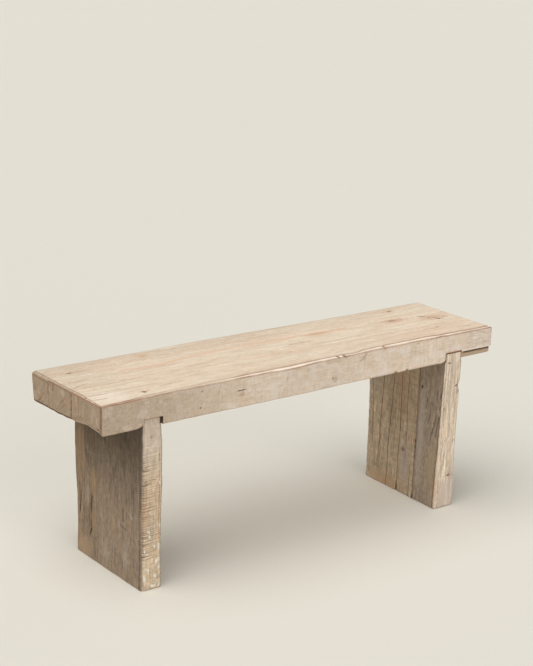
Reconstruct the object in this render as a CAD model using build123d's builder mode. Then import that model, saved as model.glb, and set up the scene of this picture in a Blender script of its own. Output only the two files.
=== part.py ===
"""Slab bench: a thick seat of three edge-glued boards let down over two upright slab legs.

Each leg is two boards glued edge to edge. Its top is a tongue that fills a housing cut across the
underside of the seat, and loose tenons tie it to every seat board. Dowels line up all the seams.
The frame stands on the floor: Z is up, X runs along the bench and the front face looks along -Y.
"""

import os
from collections import namedtuple

from build123d import *

os.makedirs("parts", exist_ok=True)

# Seat
bench_length = 1126
seat_height = 450
seat_thickness = 69
front_board_width = 114
middle_board_width = 99
rear_board_width = 71
seat_arris = 4
back_edge_lean = 7
back_edge_upright = 14

# Old joinery and wear left in the front seat board
rebate_height = 15
rebate_depth = 4.5
hollow_width = 96
hollow_rise = 17
hollow_inset = 8

# Legs
leg_depth = 276
leg_arris = 5
left_overhang = 109
left_thickness = 53
left_shoulder = 5
left_front_inset = 6.5
left_rear_board_width = 88
right_overhang = 97
right_thickness = 56
right_shoulder = 6
right_front_inset = 1
right_front_board_width = 85

# Housings across the underside of the seat
left_housing_depth = 16
left_housing_play = 1
right_housing_depth = 21
right_housing_play = 3
worn_mouth = 8
crisp_mouth = 1.5
cut_past = 10

# Loose tenons between legs and seat
tenon_thickness = 14
tenon_width = 36
tenon_in_leg = 46
tenon_in_seat = 34
tenon_chamfer = 1.5
tenon_play = 0.15
tenon_end_play = 1

# Dowels across the seams
dowel_diameter = 12
dowel_length = 70
dowel_chamfer = 1.5
dowel_play = 0.1
dowel_end_play = 1
seat_dowel_count = 5
leg_dowel_count = 3

# Levels and lines that the pieces share
bench_depth = front_board_width + middle_board_width + rear_board_width
front_y = -bench_depth / 2
back_y = bench_depth / 2
front_seam = front_y + front_board_width
rear_seam = back_y - rear_board_width
left_end = -bench_length / 2
right_end = bench_length / 2
underside = seat_height - seat_thickness

# A leg's faces along X (outer, inner, the tongue's inner cheek, the housing's inner wall), the radii
# at the housing's two mouths, the level of its floor, and the leg's lines along Y (front edge, seam,
# back edge)
Leg = namedtuple("Leg", "outer inner tongue wall outer_mouth inner_mouth floor near seam far")

left_outer = left_end + left_overhang
left_inner = left_outer + left_thickness
left_tongue = left_inner - left_shoulder
left_near = front_y + left_front_inset
left_leg = Leg(
    outer=left_outer,
    inner=left_inner,
    tongue=left_tongue,
    wall=left_tongue + left_housing_play,
    outer_mouth=worn_mouth,
    inner_mouth=crisp_mouth,
    floor=underside + left_housing_depth,
    near=left_near,
    seam=left_near + leg_depth - left_rear_board_width,
    far=left_near + leg_depth,
)

right_outer = right_end - right_overhang
right_inner = right_outer - right_thickness
right_tongue = right_inner + right_shoulder
right_near = front_y + right_front_inset
right_leg = Leg(
    outer=right_outer,
    inner=right_inner,
    tongue=right_tongue,
    wall=right_tongue - right_housing_play,
    outer_mouth=crisp_mouth,
    inner_mouth=worn_mouth,
    floor=underside + right_housing_depth,
    near=right_near,
    seam=right_near + right_front_board_width,
    far=right_near + leg_depth,
)


def spread(low, high, count):
    """Evenly spaced places between two lines, half a step in from each."""
    step = (high - low) / count
    return [low + step * (index + 0.5) for index in range(count)]


def housing(leg):
    """The channel across the underside of the seat for one leg, with eased mouths."""
    sides = sorted([(leg.outer, leg.outer_mouth), (leg.wall, leg.inner_mouth)])
    (low, low_mouth), (high, high_mouth) = sides
    with BuildPart() as channel:
        with BuildSketch(Plane.XZ.offset(-back_y - cut_past)):
            with BuildLine():
                CenterArc((low - low_mouth, underside + low_mouth), low_mouth, -90, 90)
                Polyline(
                    (low, underside + low_mouth),
                    (low, leg.floor),
                    (high, leg.floor),
                    (high, underside + high_mouth),
                )
                CenterArc((high + high_mouth, underside + high_mouth), high_mouth, 180, 90)
                Line((high + high_mouth, underside), (low - low_mouth, underside))
            make_face()
        extrude(amount=bench_depth + 2 * cut_past)
    return channel.part


def tenon_rows(leg):
    """The line along Y for each seat board's tenon: the middle of its widest overlap with a leg board."""
    seat_lines = [front_y, front_seam, rear_seam, back_y]
    leg_boards = [(leg.near, leg.seam), (leg.seam, leg.far)]
    rows = []
    for low, high in zip(seat_lines, seat_lines[1:]):
        overlaps = [(max(low, near), min(high, far)) for near, far in leg_boards]
        start, end = max(overlaps, key=lambda span: span[1] - span[0])
        rows.append((start + end) / 2)
    return rows


def tenons(leg, play=0, end_play=0):
    """The loose tenons of one leg, or with play the mortises that take them."""
    tongue_middle = (leg.outer + leg.tongue) / 2
    with BuildPart() as row:
        with BuildSketch(Plane.XY.offset(leg.floor - tenon_in_leg - end_play)):
            with Locations(*[(tongue_middle, y) for y in tenon_rows(leg)]):
                SlotOverall(tenon_width + 2 * play, tenon_thickness + 2 * play, rotation=90)
        extrude(amount=tenon_in_leg + tenon_in_seat + 2 * end_play)
    return row.part


def seam_dowels(seam, spots, play=0, end_play=0):
    """Dowels that cross a seam at the given (x, z) spots, or with play the holes that take them."""
    with BuildPart() as row:
        with BuildSketch(Plane.XZ.offset(-seam - dowel_length / 2 - end_play)):
            with Locations(*spots):
                Circle(dowel_diameter / 2 + play)
        extrude(amount=dowel_length + 2 * end_play)
    return row.part


def leg_spots(leg):
    """The (x, z) spots of the dowels across a leg's seam, between the floor and its tenons."""
    levels = spread(0, leg.floor - tenon_in_leg, leg_dowel_count)
    return [((leg.outer + leg.inner) / 2, level) for level in levels]


def leg_board(leg, near, far):
    """One board of a leg, with its tongue on top and every edge rounded but those at the seam and tongue."""
    with BuildPart() as board:
        with BuildSketch(Plane.XZ.offset(-far)):
            with BuildLine():
                Polyline(
                    (leg.outer, 0),
                    (leg.inner, 0),
                    (leg.inner, underside),
                    (leg.tongue, underside),
                    (leg.tongue, leg.floor),
                    (leg.outer, leg.floor),
                    close=True,
                )
            make_face()
        extrude(amount=far - near)
        seam_edges = board.edges().filter_by_position(Axis.Y, leg.seam, leg.seam)
        footed = board.edges().filter_by(lambda edge: edge.bounding_box().min.Z < leg_arris)
        fillet(footed - seam_edges, leg_arris)
    return board.part


def mortises(leg):
    """The mortises for one leg's tenons, in the leg and the seat alike."""
    return tenons(leg, tenon_play, tenon_end_play)


def dowel_holes(seam, spots):
    """The holes for one seam's dowels, in the boards on both sides of it."""
    return seam_dowels(seam, spots, dowel_play, dowel_end_play)


def seat_cuts():
    """All that is cut out of the seat boards, made afresh for each board."""
    return [
        housing(left_leg),
        housing(right_leg),
        mortises(left_leg),
        mortises(right_leg),
        dowel_holes(front_seam, seat_spots),
        dowel_holes(rear_seam, seat_spots),
    ]


def leg_cuts(leg):
    """All that is cut out of a leg's boards, made afresh for each board."""
    return [mortises(leg), dowel_holes(leg.seam, leg_spots(leg))]


# The (x, z) spots of the dowels across the seat's seams
dowel_level = seat_height - seat_thickness / 2
seat_spots = [
    (x, dowel_level)
    for x in [
        (left_end + left_leg.outer) / 2,
        *spread(left_leg.inner, right_leg.inner, seat_dowel_count),
        (right_leg.outer + right_end) / 2,
    ]
]

# Seat boards
with BuildPart() as top_front_board:
    with BuildSketch(Plane.YZ.offset(left_end)):
        with Locations((front_y, underside)):
            Rectangle(front_board_width, seat_thickness, align=Align.MIN)
    extrude(amount=bench_length)
    seam_edges = top_front_board.edges().group_by(Axis.Y)[-1]
    fillet(top_front_board.edges() - seam_edges, seat_arris)
    with Locations((right_leg.outer, front_y + rebate_depth, underside + rebate_height)):
        Box(
            right_overhang + cut_past,
            rebate_depth + cut_past,
            rebate_height + cut_past,
            align=(Align.MIN, Align.MAX, Align.MAX),
            mode=Mode.SUBTRACT,
        )
    with BuildSketch(Plane.YZ.offset(left_end)):
        with BuildLine():
            hollow_start = (front_y + hollow_inset, underside)
            hollow_crown = (front_y + hollow_inset + hollow_width / 2, underside + hollow_rise)
            hollow_stop = (front_y + hollow_inset + hollow_width, underside)
            ThreePointArc(hollow_start, hollow_crown, hollow_stop)
            Line(hollow_stop, hollow_start)
        make_face()
    extrude(amount=2 * hollow_rise, dir=(1, 0, -1), mode=Mode.SUBTRACT)
    for cut in seat_cuts():
        add(cut, mode=Mode.SUBTRACT)

with BuildPart() as top_middle_board:
    with BuildSketch(Plane.YZ.offset(left_end)):
        with Locations((front_seam, underside)):
            Rectangle(middle_board_width, seat_thickness, align=Align.MIN)
    extrude(amount=bench_length)
    fillet(top_middle_board.edges().filter_by(Axis.Y), seat_arris)
    for cut in seat_cuts():
        add(cut, mode=Mode.SUBTRACT)

with BuildPart() as top_rear_board:
    with BuildSketch(Plane.YZ.offset(left_end)):
        with BuildLine():
            Polyline(
                (rear_seam, underside),
                (back_y - back_edge_lean, underside),
                (back_y, seat_height - back_edge_upright),
                (back_y, seat_height),
                (rear_seam, seat_height),
                close=True,
            )
        make_face()
    extrude(amount=bench_length)
    seam_edges = top_rear_board.edges().group_by(Axis.Y)[0]
    fillet(top_rear_board.edges() - seam_edges, seat_arris)
    for cut in seat_cuts():
        add(cut, mode=Mode.SUBTRACT)

# Leg boards
with BuildPart() as left_leg_front_board:
    add(leg_board(left_leg, left_leg.near, left_leg.seam))
    for cut in leg_cuts(left_leg):
        add(cut, mode=Mode.SUBTRACT)

with BuildPart() as left_leg_rear_board:
    add(leg_board(left_leg, left_leg.seam, left_leg.far))
    for cut in leg_cuts(left_leg):
        add(cut, mode=Mode.SUBTRACT)

with BuildPart() as right_leg_front_board:
    add(leg_board(right_leg, right_leg.near, right_leg.seam))
    for cut in leg_cuts(right_leg):
        add(cut, mode=Mode.SUBTRACT)

with BuildPart() as right_leg_rear_board:
    add(leg_board(right_leg, right_leg.seam, right_leg.far))
    for cut in leg_cuts(right_leg):
        add(cut, mode=Mode.SUBTRACT)

# Loose tenons, chamfered at both ends
with BuildPart() as left_leg_tenons:
    add(tenons(left_leg))
    ends = left_leg_tenons.faces().filter_by(Axis.Z)
    chamfer(ends.edges(), tenon_chamfer)

with BuildPart() as right_leg_tenons:
    add(tenons(right_leg))
    ends = right_leg_tenons.faces().filter_by(Axis.Z)
    chamfer(ends.edges(), tenon_chamfer)

# Dowels, chamfered at both ends
with BuildPart() as top_front_seam_dowels:
    add(seam_dowels(front_seam, seat_spots))
    chamfer(top_front_seam_dowels.edges().filter_by(GeomType.CIRCLE), dowel_chamfer)

with BuildPart() as top_rear_seam_dowels:
    add(seam_dowels(rear_seam, seat_spots))
    chamfer(top_rear_seam_dowels.edges().filter_by(GeomType.CIRCLE), dowel_chamfer)

with BuildPart() as left_leg_seam_dowels:
    add(seam_dowels(left_leg.seam, leg_spots(left_leg)))
    chamfer(left_leg_seam_dowels.edges().filter_by(GeomType.CIRCLE), dowel_chamfer)

with BuildPart() as right_leg_seam_dowels:
    add(seam_dowels(right_leg.seam, leg_spots(right_leg)))
    chamfer(right_leg_seam_dowels.edges().filter_by(GeomType.CIRCLE), dowel_chamfer)

pieces = {
    "top_front_board": top_front_board,
    "top_middle_board": top_middle_board,
    "top_rear_board": top_rear_board,
    "left_leg_front_board": left_leg_front_board,
    "left_leg_rear_board": left_leg_rear_board,
    "right_leg_front_board": right_leg_front_board,
    "right_leg_rear_board": right_leg_rear_board,
    "left_leg_tenons": left_leg_tenons,
    "right_leg_tenons": right_leg_tenons,
    "top_front_seam_dowels": top_front_seam_dowels,
    "top_rear_seam_dowels": top_rear_seam_dowels,
    "left_leg_seam_dowels": left_leg_seam_dowels,
    "right_leg_seam_dowels": right_leg_seam_dowels,
}
for name, piece in pieces.items():
    piece.part.label = name
    export_step(piece.part, f"parts/{name}.step")
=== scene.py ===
import math

import bpy
import numpy as np
from mathutils import Matrix, Vector


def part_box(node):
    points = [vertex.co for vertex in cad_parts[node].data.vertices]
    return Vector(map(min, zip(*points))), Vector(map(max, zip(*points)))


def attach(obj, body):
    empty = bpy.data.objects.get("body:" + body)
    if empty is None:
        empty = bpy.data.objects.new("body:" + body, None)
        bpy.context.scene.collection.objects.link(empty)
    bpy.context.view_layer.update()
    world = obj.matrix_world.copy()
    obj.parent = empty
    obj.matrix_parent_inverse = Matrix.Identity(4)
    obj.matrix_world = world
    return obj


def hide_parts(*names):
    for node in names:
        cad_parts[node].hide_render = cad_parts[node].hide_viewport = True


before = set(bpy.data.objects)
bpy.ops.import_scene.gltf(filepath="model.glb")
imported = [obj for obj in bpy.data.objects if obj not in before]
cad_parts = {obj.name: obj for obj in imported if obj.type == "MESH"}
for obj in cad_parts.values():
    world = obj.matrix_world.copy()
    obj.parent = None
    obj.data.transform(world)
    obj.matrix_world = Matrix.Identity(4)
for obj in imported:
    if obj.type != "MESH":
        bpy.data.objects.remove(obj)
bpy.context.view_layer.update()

mm = 0.001

# Front seat board
# The widest of the three glued boards of the seat, resawn from an old softwood beam and sanded on top.
# Its outer face keeps the beam's bleached skin, its nail holes and an old rebate, and its underside is
# housed for both legs.

SIDES = {"left": (0, 0), "right": (0, 1), "front": (1, 0), "back": (1, 1), "under": (2, 0), "top": (2, 1)}


def value_noise(places, seed):
    """Smooth noise from -1 to 1: random heights on whole-number lattice points, and at each place the
    mix of the eight around it, weighted by the eased distance to them along each axis."""
    size = 64
    heights = np.random.default_rng(seed).uniform(-1, 1, (size, size, size))
    cell = np.floor(places).astype(int)
    part = places - cell
    part = part * part * (3 - 2 * part)
    total = np.zeros(len(places))
    for corner in np.ndindex(2, 2, 2):
        weight = np.prod(np.where(corner, part, 1 - part), axis=1)
        at = (cell + corner) % size
        total += weight * heights[at[:, 0], at[:, 1], at[:, 2]]
    return total


def ease(low, high, value):
    """0 below low, 1 above high, and the smooth step 3t^2 - 2t^3 between them."""
    t = np.clip((value - low) / (high - low), 0, 1)
    return t * t * (3 - 2 * t)


def bell(value, centre, width):
    """1 at centre, falling on both sides as exp(-t^2), with t counted in widths."""
    return np.exp(-(((value - centre) / width) ** 2))


def stations(low, high, step, marks):
    """Places from low to high: an even spread, crowded at both ends where the arris turns, and marks."""
    crowd = np.array([0, 0.3, 0.7, 1.2, 1.8, 2.5, 3.3, 4.2, 5.2, 6.4, 7.8]) * mm
    even = np.linspace(low, high, round((high - low) / step) + 1)
    wanted = np.concatenate([low + crowd, high - crowd, *marks])
    clear = np.abs(even[:, None] - wanted).min(axis=1) > 0.4 * step
    places = np.unique(np.round(np.concatenate([even[clear], wanted]), 6))
    return places[(places >= low) & (places <= high)]


def around(centres, half_width, spread=(-1.4, -1, -0.6, -0.25, 0, 0.25, 0.6, 1, 1.4)):
    """Places that give a groove or pit of that half width its edges, its slopes and its floor."""
    return np.add.outer(np.asarray(centres, float), np.array(spread) * half_width).ravel() * mm


def beside(walls):
    """Places that hold an upright step, with a close neighbour on each side."""
    return np.add.outer(np.asarray(walls, float), [-0.7, -0.04, 0.04, 0.7]).ravel() * mm


class Board:
    """The skin of one board, as arrays: six grids, one on each side of a block, that share their border
    points. plain is each point's place on the sharp block, share the same place as 0 to 1 from side to
    side along each axis, and spot where wear and cuts have moved the point. marks are numbers from 0 to
    1 that the material reads."""

    def __init__(self, node, grain, steps, marks):
        self.low, self.high = (np.round(np.array(corner), 6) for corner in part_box(node))
        self.grain = grain
        rows = [stations(self.low[i], self.high[i], steps[i] * mm, marks[i]) for i in range(3)]
        shape = tuple(len(row) for row in rows)
        shell = np.zeros(shape, bool)
        for axis in range(3):
            for end in (0, -1):
                shell[tuple(end if i == axis else slice(None) for i in range(3))] = True
        number = np.full(shape, -1)
        number[shell] = np.arange(shell.sum())
        self.plain = np.stack(np.meshgrid(*rows, indexing="ij"), axis=-1)[shell]
        self.share = (self.plain - self.low) / (self.high - self.low)
        self.quads = np.concatenate([self.grid(number, *side) for side in SIDES.values()])
        self.spot = self.plain.copy()
        self.marks = {name: np.zeros(len(self.plain)) for name in ("aged", "end", "rub_and_highlight", "brink_and_shade", "check")}
        run = self.share[:, grain]
        self.note("end", (run == 0) | (run == 1))

    def grid(self, number, axis, end):
        """The quads of one side: each cell of its grid of point numbers, wound to face outwards."""
        sheet = np.take(number, -end, axis=axis)
        cells = [sheet[:-1, :-1], sheet[1:, :-1], sheet[1:, 1:], sheet[:-1, 1:]]
        quads = np.stack([cell.ravel() for cell in cells], axis=1)
        outward = (axis == 1) != (end == 1)
        return quads if outward else quads[:, ::-1]

    def at(self, axis):
        """Each point's place along one axis of the sharp block, in mm."""
        return self.plain[:, axis] / mm

    def on(self, *sides):
        """1 on any of the sides, border points included."""
        each = [self.share[:, SIDES[side][0]] == SIDES[side][1] for side in sides]
        return np.any(each, axis=0).astype(float)

    def reach(self, side):
        """How many mm each point lies below one side of the sharp block."""
        axis, end = SIDES[side]
        edge = self.high[axis] if end else self.low[axis]
        return np.abs(self.plain[:, axis] - edge) / mm

    def noise(self, cell, seed):
        """Noise with cells of the given size in mm along X, Y and Z."""
        return value_noise(self.plain / (np.array(cell, float) * mm) + 11.3, seed)

    def note(self, name, values):
        self.marks[name] = np.maximum(self.marks[name], values)

    def push(self, side, depth):
        """Move points straight in from a side by so many mm."""
        axis, end = SIDES[side]
        self.spot[:, axis] += (-depth if end else depth) * mm

    def sink(self, side, depth):
        """Lower a side by depth mm, a number for each point, fading to nothing at the far side."""
        axis, end = SIDES[side]
        self.push(side, depth * (self.share[:, axis] if end else 1 - self.share[:, axis]))

    def roll(self, first, second, radius, square=2.0, flat=1.0, rub_and_highlight=0.0, brink_and_shade=0.0, wide=(0.9, 0.9)):
        """Take off the arris between two sides. It goes radius in from the first side and flat times that
        from the second. In those units, a point nearer than 1 to both is drawn in towards the line 1
        inside both, until the p-norm of its offset from that line is 1: p = square, so 2 leaves a
        quarter round and 1 a chamfer. rub marks the worn band, paler wood that is in places a painted
        highlight, and brink a line along its borders, a dark edge line that is in places a painted shadow
        line."""
        radius = np.broadcast_to(radius, len(self.plain))
        near, far = self.reach(first) / radius, self.reach(second) / (flat * radius)
        a, b = np.maximum(1 - near, 0), np.maximum(1 - far, 0)
        both = (a > 0) & (b > 0)
        norm = np.where(both, (a**square + b**square) ** (1 / square), 1)
        keep = np.where(both, np.minimum(1 / norm, 1), 1)
        self.push(first, a * (1 - keep) * radius)
        self.push(second, b * (1 - keep) * radius * flat)
        over = np.maximum(near, far)
        self.note("rub_and_highlight", rub_and_highlight * self.on(first, second) * (1 - ease(0.55, 0.95, over)))
        for side, width, size in zip((first, second), wide, (flat * radius, radius)):
            self.note("brink_and_shade", brink_and_shade * self.on(side) * bell(over * size, size, width))

    def seam(self, glued, face, radius, dark, wide=0.9):
        """The fine V along a face where a glued side meets its neighbour, with a dark line on the face."""
        self.roll(glued, face, radius, 1.0, brink_and_shade=dark, wide=(0.0001, wide))

    def across(self, side):
        """The axis that lies in a side and runs across the grain."""
        return ({0, 1, 2} - {self.grain, SIDES[side][0]}).pop()

    def bend(self, side, lines):
        """Make the grid lines at the given places follow wavy paths. Each line has a hat function of the
        place across the grain, 1 on it and 0 on its neighbours, times its shift at that height."""
        axis = self.across(side)
        places = [self.low[axis] / mm, *(line[0] for line in lines), self.high[axis] / mm]
        for before, here, after, (_, heights, shifts) in zip(places, places[1:], places[2:], lines):
            hat = np.interp(self.at(axis), [before, here, after], [0, 1, 0])
            self.spot[:, axis] += hat * np.interp(self.at(self.grain), heights, shifts) * mm

    def slit(self, side, place, start, stop, wide, deep, taper=25.0, dark=1.0):
        """A drying check: a V groove along the grain whose width and depth ease off at both ends."""
        run = self.at(self.grain)
        full = ease(start, start + taper, run) * (1 - ease(stop - taper, stop, run))
        off = np.abs(self.at(self.across(side)) - place) / (0.5 * wide * (0.3 + 0.7 * full))
        groove = np.clip(1 - off, 0, 1) * full
        self.sink(side, deep * groove)
        self.note("check", dark * np.minimum(groove * 1.6, 1) * self.on(side))

    def pit(self, side, centre, size, deep, dark=1.0):
        """A nail hole or dent: an elliptical bowl in one side, its floor a third of its width."""
        axes = sorted({0, 1, 2} - {SIDES[side][0]})
        off = [(self.at(axis) - at) / half for axis, at, half in zip(axes, centre, size)]
        bowl = 1 - ease(0.35, 1.0, np.hypot(*off))
        self.sink(side, deep * bowl)
        self.note("check", dark * bowl * self.on(side))

    def piece(self, name, material):
        """The mesh, with its marks as attributes, as an object at the origin."""
        mesh = bpy.data.meshes.new(name)
        mesh.from_pydata(self.spot, [], self.quads)
        for label, values in self.marks.items():
            layer = mesh.attributes.new(label, "FLOAT", "POINT")
            layer.data.foreach_set("value", values.astype(np.float32))
        mesh.shade_smooth()
        mesh.set_sharp_from_angle(angle=math.radians(48))
        mesh.materials.append(material)
        made = bpy.data.objects.new(name, mesh)
        bpy.context.scene.collection.objects.link(made)
        return made


class Wire:
    """One output socket of a material. Arithmetic on it adds Math nodes, and node() adds any other."""

    def __init__(self, socket):
        self.socket = socket
        self.tree = socket.id_data

    def node(self, kind, settings, sockets, output=0):
        """Add a node, set its settings and then its sockets, and give one of its outputs."""
        made = self.tree.nodes.new(kind)
        for name, value in settings.items():
            setattr(made, name, value)
        for name, value in sockets.items():
            if isinstance(value, Wire):
                self.tree.links.new(value.socket, made.inputs[name])
            else:
                made.inputs[name].default_value = value
        return Wire(made.outputs[output])

    def math(self, operation, *values):
        return self.node("ShaderNodeMath", {"operation": operation}, dict(enumerate(values)))

    def vector(self, operation, *values):
        output = 1 if operation in ("LENGTH", "DOT_PRODUCT") else 0
        values = dict(enumerate((self, *values)))
        return self.node("ShaderNodeVectorMath", {"operation": operation}, values, output)

    def scaled(self, amount):
        """This vector or colour times a number."""
        return self.node("ShaderNodeVectorMath", {"operation": "SCALE"}, {0: self, "Scale": amount})

    def blend(self, other, amount):
        """This colour with another laid over it."""
        return self.node("ShaderNodeMix", {"data_type": "RGBA"}, {0: amount, 6: self, 7: other}, 2)

    def between(self, low, high):
        """0 below low and 1 above high, eased, or the other way round where low is the larger."""
        settings = {"interpolation_type": "SMOOTHSTEP"}
        return self.node("ShaderNodeMapRange", settings, {0: self, 1: low, 2: high, 3: 0.0, 4: 1.0})

    def __add__(self, other):
        return self.math("ADD", self, other)

    __radd__ = __add__

    def __sub__(self, other):
        return self.math("SUBTRACT", self, other)

    def __rsub__(self, other):
        return self.math("SUBTRACT", other, self)

    def __mul__(self, other):
        return self.math("MULTIPLY", self, other)

    __rmul__ = __mul__

    def __truediv__(self, other):
        return self.math("DIVIDE", self, other)

    def __pow__(self, other):
        return self.math("POWER", self, other)


class Timber:
    """Bare wood in nodes. place counts mm along the grain, across it along Y, and through the board, so
    that faces, edges and ends are all cut from one solid pattern."""

    def __init__(self, name, grain, seed, board=None):
        self.board = board
        self.axis, self.level, self.depth = 0, 0.0, 12.0
        self.material = bpy.data.materials.new(name)
        self.material.use_nodes = True
        tree = self.material.node_tree
        self.shader = tree.nodes["Principled BSDF"]
        self.grain = grain
        self.seed = seed
        metres = Wire(tree.nodes.new("ShaderNodeTexCoord").outputs["Object"])
        parts = metres.node("ShaderNodeSeparateXYZ", {}, {0: metres.scaled(1000)}).socket.node
        x, y, z = (Wire(output) for output in parts.outputs)
        self.along, self.across, self.deep = (x, y, z) if grain == 0 else (z, y, x)
        order = {0: self.along, 1: self.across, 2: self.deep}
        self.place = metres.node("ShaderNodeCombineXYZ", {}, order)
        self.rim = self.noise((9, 5), 31, detail=3.0)
        sway = self.noise((18, 8), 32, output=1).vector("SUBTRACT", (0.5, 0.5, 0.5))
        self.swayed = self.place.vector("ADD", sway.scaled(7.0))

    def noise(self, size, number, detail=2.0, rough=0.55, output=0):
        """Noise about 0.5 with cells of the given size in mm along, across and through the board. Where
        the last is left out, it is as across."""
        size = (*size, size[-1])[:3]
        shift = (3.7 * self.seed + 1.3 * number, 5.3 * number + 0.7 * self.seed, 2.9 * self.seed)
        spread = self.place.vector("DIVIDE", size).vector("ADD", shift)
        sockets = {"Vector": spread, "Scale": 1.0, "Detail": detail, "Roughness": rough}
        return self.place.node("ShaderNodeTexNoise", {}, sockets, output)

    def flecks(self, size, number, low, high, detail=4.0):
        """Patches from 0 to 1, where noise with cells of that size climbs from low to high."""
        return self.noise(size, number, detail, 0.65).between(low, high)

    def face(self, side, depth=12.0):
        """Choose the side of the board that marks with two numbers lie on, and how deep they go."""
        self.axis, end = SIDES[side]
        self.level = (self.board.high if end else self.board.low)[self.axis] / mm
        self.depth = depth

    def fleck(self, colour, amount, *patches):
        """Lay a colour over patches, given as in flecks."""
        self.lay(colour, self.flecks(*patches) * amount)

    def turned(self, point, third):
        """A point or size given along X, Y and Z, put in the order of place. Where the axis across the
        face is left out, third stands there."""
        point = list(point)
        if len(point) == 2:
            point.insert(self.axis, third)
        return Vector(point[::-1] if self.grain == 2 else point)

    def spot(self, centre, size, ragged=0.35):
        """1 at a point of the bench, falling to 0 over an ellipsoid of that half size with a ragged rim."""
        centre, size = self.turned(centre, self.level), self.turned(size, self.depth)
        off = self.swayed.vector("SUBTRACT", centre).vector("DIVIDE", size)
        return (off.vector("LENGTH") + (self.rim - 0.5) * (2 * ragged)).between(1.0, 0.25)

    def line(self, start, stop, width):
        """1 on the line between two points of the bench, falling to 0 half a width off it. Each place is
        set against the nearest point of the line, at the clamped share dot(off, way) / dot(way, way)."""
        start, stop = self.turned(start, self.level), self.turned(stop, self.level)
        way = stop - start
        off = self.swayed.vector("SUBTRACT", start)
        share = off.vector("DOT_PRODUCT", way / way.length_squared)
        share = share.node("ShaderNodeClamp", {}, {0: share})
        foot = share.node("ShaderNodeVectorMath", {"operation": "SCALE"}, {0: way, "Scale": share})
        far = off.vector("SUBTRACT", foot).vector("LENGTH") / (0.5 * width)
        return (far + (self.rim - 0.5) * 1.2).between(1.0, 0.3)

    def rings(self, pith, ring, knots=()):
        """Latewood, 0 to 1: the distance from the pith line, swayed by noise and swollen around knots, is
        counted in rings of uneven width, and each ring darkens slowly and ends sharply."""
        y = self.across - pith[0] + (self.noise((320, 70), 1) - 0.5) * 30
        z = self.deep - pith[1] + (self.noise((320, 70), 2) - 0.5) * 30
        radius = (y * y + z * z) ** 0.5
        for centre, size, swell in knots:
            radius = radius + self.spot(centre, size, ragged=0.1) * swell
        year = radius / ring + (self.noise((700, 12), 3) - 0.5) * 1.8
        turn = year.math("FRACT", year)
        return turn.between(0.35, 0.9) * turn.between(1.0, 0.93)

    def mark(self, name):
        """One of the board's own marks, from its mesh."""
        return self.place.node("ShaderNodeAttribute", {"attribute_name": name}, {}, output=2)

    def start(self, colour):
        self.colour = self.rim.blend((*colour, 1.0), 1.0)

    def lay(self, colour, amount):
        """Lay a colour over what is there, by an amount from 0 to 1."""
        self.colour = self.colour.blend((*colour, 1.0), amount)

    def shade(self, factor):
        """Make the colour lighter or darker."""
        self.colour = self.colour.scaled(factor)

    def mottle(self, size, number, strength, where=1.0):
        """Make the colour lighter and darker in turn, by noise with cells of that size."""
        self.shade(1.0 + (self.noise(size, number, 3.0, 0.65) - 0.5) * (strength * where))

    def stain(self, colour, amount, centre, size, ragged=0.35):
        """A knot, a stain or a worn patch."""
        self.lay(colour, self.spot(centre, size, ragged) * amount)

    def score(self, colour, amount, width, *points):
        """A hairline check, a scratch or a resin streak, drawn through points of the bench."""
        strokes = [self.line(start, stop, width) for start, stop in zip(points, points[1:])]
        drawn = strokes[0]
        for stroke in strokes[1:]:
            drawn = drawn.math("MAXIMUM", drawn, stroke)
        self.lay(colour, drawn * amount)

    def close(self, rough, relief, fibrous=1.0):
        """Feed the shader: colour, an uneven matte roughness, and a bump of relief mm that is made of
        fibres by the share fibrous and of rings by the rest."""
        height = self.fibre * fibrous + self.late * (1 - fibrous)
        tree = self.material.node_tree
        tree.links.new(self.colour.socket, self.shader.inputs["Base Color"])
        tree.links.new((rough + (height - 0.5) * 0.16).socket, self.shader.inputs["Roughness"])
        sockets = {"Height": height, "Strength": 0.6, "Distance": relief * mm}
        tree.links.new(self.place.node("ShaderNodeBump", {}, sockets).socket, self.shader.inputs["Normal"])
        self.shader.inputs["Specular IOR Level"].default_value = 0.25
        return self.material


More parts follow.
